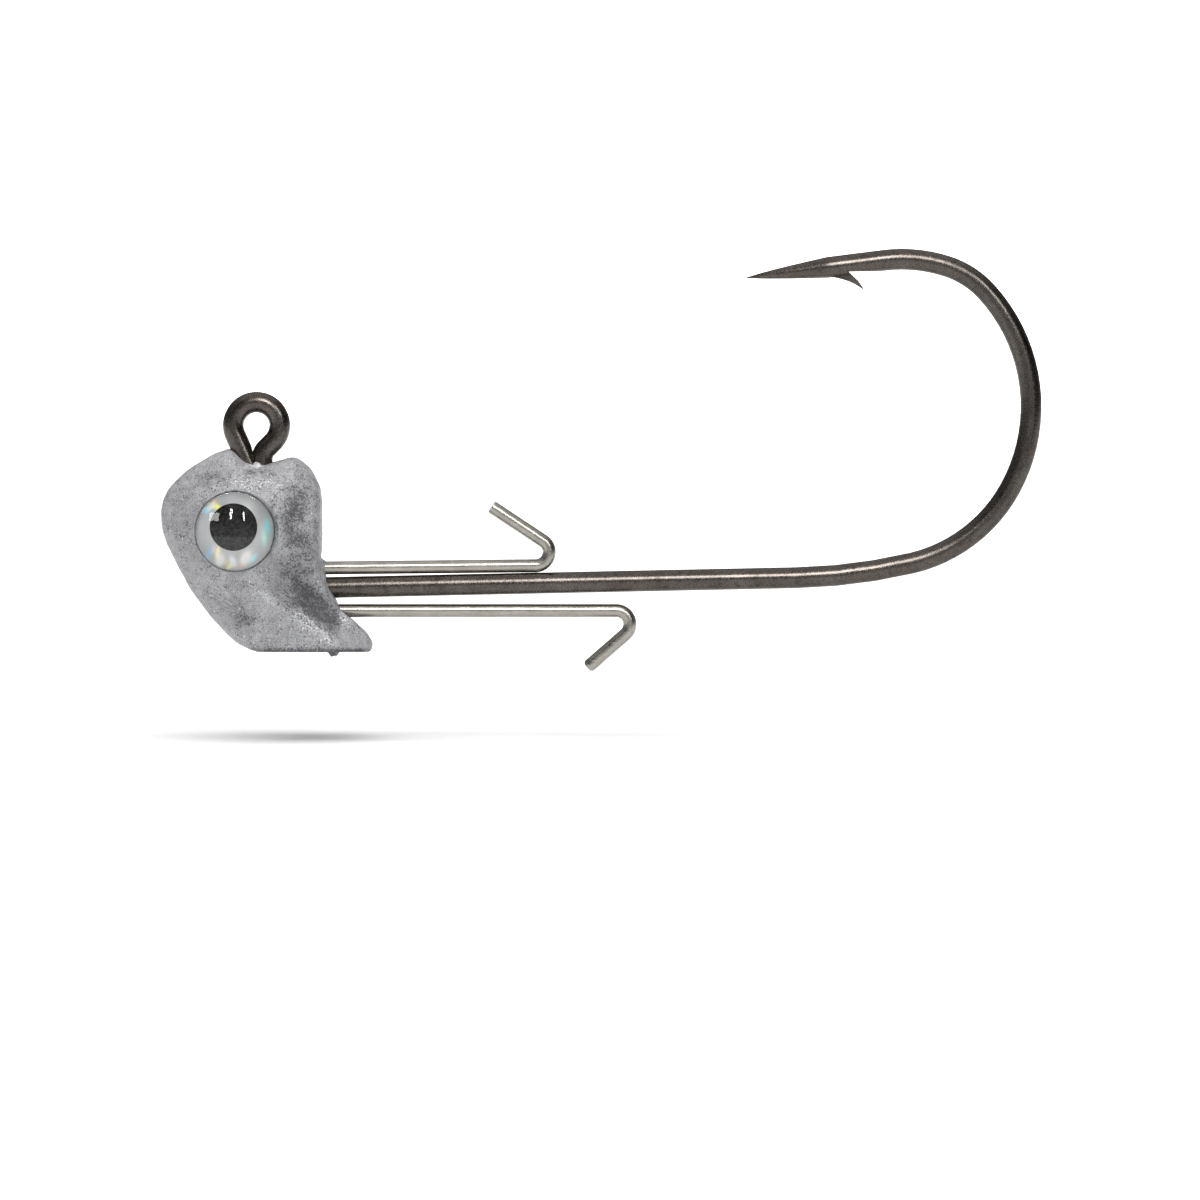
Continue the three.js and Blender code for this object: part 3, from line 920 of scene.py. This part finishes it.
def cast_lead_material():
    """Bare lead: soft grey, grainy, with painted shade and darker smudges, painted highlights, and
    small bright crystal faces.
    """
    n = Nodes("cast_lead")
    shade_and_dark_patches = n.attribute("shade_and_dark_patches")
    painted_highlight = n.attribute("painted_highlight")
    cloud = n.noise(1.6, 3, 0.6)
    patch = n.noise(0.55, 3, 0.6)
    mottle = n.noise(0.24, 3, 0.65)
    grain = n.noise(0.12, 2, 0.7)
    # Grey, cloudy and grained.
    base = n.ramp(cloud, (0.32, (0.34, 0.341, 0.354)), (0.68, (0.44, 0.441, 0.456)))
    base = n.mix(0.55, base, n.ramp(mottle, (0.36, 0.35), (0.5, 0.5), (0.64, 0.65)), "OVERLAY")
    base = n.mix(0.75, base, n.ramp(grain, (0.36, 0.32), (0.5, 0.5), (0.64, 0.68)), "OVERLAY")
    # A dull dark tone in the painted shade and darker places, and a paler tone as painted highlight.
    darkening = n.math("MULTIPLY", shade_and_dark_patches, n.range(patch, 0.35, 0.6, 0.2, 0.48))
    base = n.mix(darkening, base, (0.14, 0.14, 0.148))
    highlit = n.math("MULTIPLY", painted_highlight, n.range(mottle, 0.4, 0.58, 0, 0.6))
    base = n.mix(highlit, base, (0.74, 0.74, 0.75))
    # Dark specks, which crowd together in the painted shade and darker places.
    dark_specks = n.math("ADD", grain, n.math("MULTIPLY", shade_and_dark_patches, 0.165))
    dark_specks = n.math("ADD", dark_specks, n.range(patch, 0.3, 0.7, -0.09, 0.09))
    dark_specks = n.math("ADD", dark_specks, n.range(mottle, 0.35, 0.65, -0.07, 0.07))
    dark_specks = n.math("ADD", dark_specks, n.math("MULTIPLY", painted_highlight, 0.09))
    base = n.mix(n.range(dark_specks, 0.57, 0.67, 0, 0.85), base, (0.05, 0.05, 0.055))
    # Bright metal as a painted highlight on the flash, and small crystal faces that catch the light.
    base = n.mix(n.range(painted_highlight, 1.0, 1.2, 0, 0.75), base, (0.82, 0.82, 0.83))
    crystal = n.math("ADD", n.noise(0.13, 2, 0.65), n.math("MULTIPLY", painted_highlight, 0.15))
    crystal = n.math("SUBTRACT", crystal, n.math("MULTIPLY", shade_and_dark_patches, 0.1))
    crystal = n.math("ADD", crystal, n.range(patch, 0.3, 0.7, -0.03, 0.03))
    fleck = n.range(crystal, 0.63, 0.7)
    base = n.mix(n.math("MULTIPLY", fleck, 0.85), base, (0.86, 0.86, 0.87))
    n.link(base, n.shader.inputs["Base Color"])
    n.link(n.range(fleck, 0, 1, 0.3, 0.75), n.shader.inputs["Metallic"])
    n.link(n.range(grain, 0.3, 0.7, 0.38, 0.58), n.shader.inputs["Roughness"])
    relief = n.math("ADD", n.math("MULTIPLY", mottle, 1.1), n.math("MULTIPLY", grain, 0.5))
    n.bump(relief, 0.06, 0.9)
    return n.material


def black_nickel_material():
    """Bright plate, dark and slightly brown, with fine drawing lines and faint stains."""
    n = Nodes("black_nickel")
    cloud = n.noise(1.8, 3, 0.6)
    stain = n.noise(0.4, 3, 0.65)
    fine = n.noise(0.08, 2, 0.6)
    tone = n.ramp(cloud, (0.3, (0.08, 0.07, 0.062)), (0.7, (0.115, 0.102, 0.092)))
    tone = n.mix(0.65, tone, n.ramp(fine, (0.35, 0.25), (0.65, 0.75)), "OVERLAY")
    tone = n.mix(n.range(stain, 0.54, 0.68, 0, 0.45), tone, (0.03, 0.027, 0.025))
    n.link(tone, n.shader.inputs["Base Color"])
    n.set(Metallic=1.0)
    n.link(n.range(fine, 0.3, 0.7, 0.2, 0.32), n.shader.inputs["Roughness"])
    n.bump(n.math("ADD", fine, n.math("MULTIPLY", stain, 1.5)), 0.006, 0.6)
    return n.material


def stainless_material():
    """Hard-drawn stainless wire: warm grey, with draw marks along the wire."""
    n = Nodes("stainless_wire")
    along = n.noise(0.07, 3, 0.6, n.stretched((0.06, 1, 1)))
    cloud = n.noise(1.1, 3, 0.6)
    tone = n.ramp(cloud, (0.3, (0.31, 0.295, 0.265)), (0.7, (0.4, 0.38, 0.345)))
    tone = n.mix(0.3, tone, n.ramp(along, (0.35, 0.3), (0.65, 0.68)), "OVERLAY")
    n.link(tone, n.shader.inputs["Base Color"])
    n.set(Metallic=1.0)
    n.link(n.range(along, 0.3, 0.7, 0.2, 0.36), n.shader.inputs["Roughness"])
    n.bump(along, 0.006, 0.5)
    return n.material


def foil_material():
    """Holographic foil: silver with coloured flares, and a fine diffraction grain."""
    n = Nodes("eye_foil")
    grain = n.noise(0.06, 2, 0.6)
    tint = n.attribute("foil_tint", "Color")
    tone = n.mix(0.25, tint, n.ramp(grain, (0.35, 0.38), (0.65, 0.66)), "OVERLAY")
    n.link(tone, n.shader.inputs["Base Color"])
    n.set(Specular_IOR_Level=0.1)
    n.link(n.range(grain, 0.3, 0.7, 0.5, 0.65), n.shader.inputs["Roughness"])
    n.bump(grain, 0.004, 0.4)
    return n.material


def ink_material():
    """Printed black, slightly grey, with the dots of the screen showing."""
    n = Nodes("pupil_ink")
    grain = n.noise(0.16, 4, 0.75)
    n.link(n.ramp(grain, (0.4, 0.001), (0.62, 0.034)), n.shader.inputs["Base Color"])
    n.set(Specular_IOR_Level=0.1)
    n.link(n.range(grain, 0.3, 0.7, 0.5, 0.7), n.shader.inputs["Roughness"])
    n.bump(grain, 0.004, 0.4)
    return n.material


def resin_material():
    """Clear epoxy, with a faintly uneven polish."""
    n = Nodes("eye_resin")
    wave = n.noise(0.9, 1, 0.5)
    n.link(n.ramp(wave, (0.3, (0.97, 0.98, 0.985)), (0.7, 1.0)), n.shader.inputs["Base Color"])
    n.link(n.range(wave, 0.3, 0.7, 0.015, 0.04), n.shader.inputs["Roughness"])
    n.set(IOR=1.5, Transmission_Weight=1.0)
    return n.material


def adhesive_material():
    """White foam tape, slightly yellowed."""
    n = Nodes("adhesive")
    foam = n.noise(0.12, 3, 0.6)
    tone = n.ramp(foam, (0.3, (0.66, 0.64, 0.6)), (0.7, (0.84, 0.82, 0.78)))
    n.link(tone, n.shader.inputs["Base Color"])
    n.set(Roughness=0.85)
    n.bump(foam, 0.02, 0.6)
    return n.material


# ---- Stage -----------------------------------------------------------------------------

# Lengths here are in metres.

CAMERA = dict(lens=200, sensor=36, frame_width=0.0768, centre=(0.02195, -0.01114), clip_start=0.01)

FLOOR_Z = -0.0200
FLOOR_FRONT, FLOOR_BACK = -0.3, 0.05  # beyond the back edge the sweep starts
FLOOR_RISE = math.tan(math.radians(5))  # the floor's slope, upwards to the back
FLOOR_HALF_WIDTH = 1.2
FLOOR_GREY, FLOOR_GLOW, SWEEP_GLOW = 0.85, 0.1, 0.5
BACKDROP = dict(y=0.35, left=-0.07, right=0.115, top=0.08, grey=0.8, glow=1.2)

ROOM = [(0.05, 0.5), (0.2, 0.2), (0.65, 0.25), (0.92, 0.95)]  # sine of elevation, level
DARK_PLACES = [(68, 0, 45, 0.12), (-27, 27, 17, 0.15)]  # azimuth, elevation, radius, level

LIGHTS = [  # name, azimuth, elevation, width, height, radiance, aimed at, distance, lit pieces
    ("strip_left", -8, 25, 3, 15, 26, "eye", 0.1, "eyes"),
    ("strip_right", 11, 22, 2.6, 12, 22, "eye", 0.1, "eyes"),
    ("window", -33, 20, 14, 11, 8, "eye", 0.04, "eyes"),
    ("above_eye", 0, 70, 60, 18, 11, "eye", 0.1, "eyes"),
    ("strip_rear", 28, 24, 5, 14, 20, "jig", 0.4, "wires"),
    ("broad", 5, 32.5, 15, 20, 18, "jig", 0.4, "wires"),
    ("fill", 18, 41, 18, 22, 10.5, "jig", 0.15, "casting"),
]
CEILING = dict(elevation=82, width=84, height=36, radiance=3.6, distance=1.2, to_left=0.25)


def glowing(name, grey, glow):
    """A matt pale grey that also gives off some light."""
    n = Nodes(name)
    n.set(Base_Color=(grey, grey, grey, 1), Roughness=0.9, Specular_IOR_Level=0.0)
    n.set(Emission_Color=(1, 1, 1, 1), Emission_Strength=glow)
    return n.material


def stage_quad(name, corners, material):
    mesh = bpy.data.meshes.new(name)
    mesh.from_pydata(corners, [], [(0, 1, 2, 3)])
    mesh.materials.append(material)
    quad = bpy.data.objects.new(name, mesh)
    bpy.context.scene.collection.objects.link(quad)


def way_to(azimuth, elevation):
    """The direction at this azimuth, from the camera's side to the right, and elevation."""
    az, el = math.radians(azimuth), math.radians(elevation)
    return Vector((math.sin(az) * math.cos(el), -math.cos(az) * math.cos(el), math.sin(el)))


def softbox(name, azimuth, elevation, width, height, radiance, target, distance):
    """A rectangular light seen from the target at these angles, with its size in degrees."""
    way = way_to(azimuth, elevation)
    light = bpy.data.lights.new(name, "AREA")
    light.shape = "RECTANGLE"
    light.size = 2 * distance * math.tan(math.radians(width / 2))
    light.size_y = 2 * distance * math.tan(math.radians(height / 2))
    light.energy = radiance * math.pi * light.size * light.size_y
    lamp = bpy.data.objects.new(name, light)
    lamp.location = target + way * distance
    lamp.rotation_mode = "QUATERNION"
    lamp.rotation_quaternion = way.to_track_quat("Z", "Y")
    bpy.context.scene.collection.objects.link(lamp)
    return lamp


def group(name, pieces):
    """A collection outside the scene, naming the pieces that a light is meant for."""
    collection = bpy.data.collections.new(name)
    for piece in pieces:
        collection.objects.link(piece)
    return collection


def dark_place(tree, direction, azimuth, elevation, radius, level):
    """1 in most directions, and down to this level round one of them."""
    facing = tree.nodes.new("ShaderNodeVectorMath")
    facing.operation = "DOT_PRODUCT"
    tree.links.new(direction, facing.inputs[0])
    facing.inputs[1].default_value = way_to(azimuth, elevation)
    fade = tree.nodes.new("ShaderNodeMapRange")
    fade.inputs["From Min"].default_value = math.cos(math.radians(radius))
    fade.inputs["From Max"].default_value = math.cos(math.radians(radius / 2))
    fade.inputs["To Min"].default_value = 1.0
    fade.inputs["To Max"].default_value = level
    tree.links.new(facing.outputs["Value"], fade.inputs["Value"])
    return fade.outputs["Result"]


def make_world():
    """A room with dim walls and two darker places, which give the wires their dark bands."""
    world = bpy.data.worlds.new("studio")
    world.use_nodes = True
    tree = world.node_tree
    direction = tree.nodes.new("ShaderNodeTexCoord").outputs["Generated"]
    parts = tree.nodes.new("ShaderNodeSeparateXYZ")
    ramp = tree.nodes.new("ShaderNodeValToRGB")
    tree.links.new(direction, parts.inputs[0])
    tree.links.new(parts.outputs["Z"], ramp.inputs["Fac"])
    elements = ramp.color_ramp.elements
    while len(elements) < len(ROOM):
        elements.new(0.5)
    for element, (height, level) in zip(elements, ROOM):
        element.position, element.color = height, (level, level, level, 1)
    product = tree.nodes.new("ShaderNodeMath")
    product.operation = "MULTIPLY"
    for socket, place in zip(product.inputs, DARK_PLACES):
        tree.links.new(dark_place(tree, direction, *place), socket)
    background = tree.nodes["Background"]
    tree.links.new(ramp.outputs["Color"], background.inputs["Color"])
    tree.links.new(product.outputs["Value"], background.inputs["Strength"])
    bpy.context.scene.world = world


def make_floor():
    """A sloping floor, a brighter sweep behind it, and a small backdrop beyond."""
    def height(y):
        return FLOOR_Z + y * FLOOR_RISE

    wide, far = FLOOR_HALF_WIDTH, BACKDROP["y"]
    for name, front, back, glow in (
        ("floor", FLOOR_FRONT, FLOOR_BACK, FLOOR_GLOW),
        ("sweep", FLOOR_BACK, far, SWEEP_GLOW),
    ):
        stage_quad(name, [
            (-wide, front, height(front)), (wide, front, height(front)),
            (wide, back, height(back)), (-wide, back, height(back)),
        ], glowing(f"pale_{name}", FLOOR_GREY, glow))
    left, right, top = BACKDROP["left"], BACKDROP["right"], BACKDROP["top"]
    stage_quad("backdrop", [
        (left, far, height(far)), (right, far, height(far)), (right, far, top), (left, far, top),
    ], glowing("pale_backdrop", BACKDROP["grey"], BACKDROP["glow"]))


def make_lights(groups):
    """Each light in the table is for one group of pieces, and the ceiling is for everything."""
    middle = Vector((CAMERA["centre"][0], 0, CAMERA["centre"][1]))
    targets = {"jig": middle, "eye": Vector((EYE["x"] * MM, 0, EYE["z"] * MM))}
    for name, azimuth, elevation, width, height, radiance, aim, distance, lit in LIGHTS:
        lamp = softbox(name, azimuth, elevation, width, height, radiance, targets[aim], distance)
        lamp.light_linking.receiver_collection = groups[lit]
    ceiling = softbox(
        "ceiling", 0, CEILING["elevation"], CEILING["width"], CEILING["height"],
        CEILING["radiance"], middle - Vector((CEILING["to_left"], 0, 0)), CEILING["distance"],
    )
    ceiling.visible_glossy = False


def make_camera():
    """Square to the side of the jig, looking along +Y, with a long lens."""
    data = bpy.data.cameras.new("camera")
    data.lens = CAMERA["lens"]
    data.sensor_width = CAMERA["sensor"]
    data.clip_start = CAMERA["clip_start"]
    camera = bpy.data.objects.new("camera", data)
    distance = CAMERA["frame_width"] * CAMERA["lens"] / CAMERA["sensor"]
    camera.location = (CAMERA["centre"][0], -distance, CAMERA["centre"][1])
    camera.rotation_euler = (math.pi / 2, 0, 0)
    bpy.context.scene.collection.objects.link(camera)
    bpy.context.scene.camera = camera


# ---- Assembly --------------------------------------------------------------------------

silver, ink, resin, foam = foil_material(), ink_material(), resin_material(), adhesive_material()
steel = stainless_material()
head = lead_head(cast_lead_material())
wires = [
    hook(black_nickel_material()),
    keeper("upper_keeper", "upper_keeper_wire", UPPER_KEEPER, steel, lean=0.15),
    keeper("lower_keeper", "lower_keeper_wire", LOWER_KEEPER, steel, lean=0.35),
]
eyes = []
for hand, side in (("left", 1), ("right", -1)):  # as the part's nodes are named: left at +Y
    pad(f"{hand}_pad", f"{hand}_eye_adhesive_pad", side, foam)
    eyes += [
        foil(f"{hand}_foil", f"{hand}_eye_foil", side, silver),
        pupil(f"{hand}_pupil", f"{hand}_eye_pupil", side, ink),
        dome(f"{hand}_dome", f"{hand}_eye_dome", side, resin),
    ]

bpy.context.scene.view_settings.view_transform = "Standard"
make_camera()
make_world()
make_floor()
make_lights({
    "casting": group("casting", [head]),
    "wires": group("wires", wires),
    "eyes": group("eyes", eyes),
})
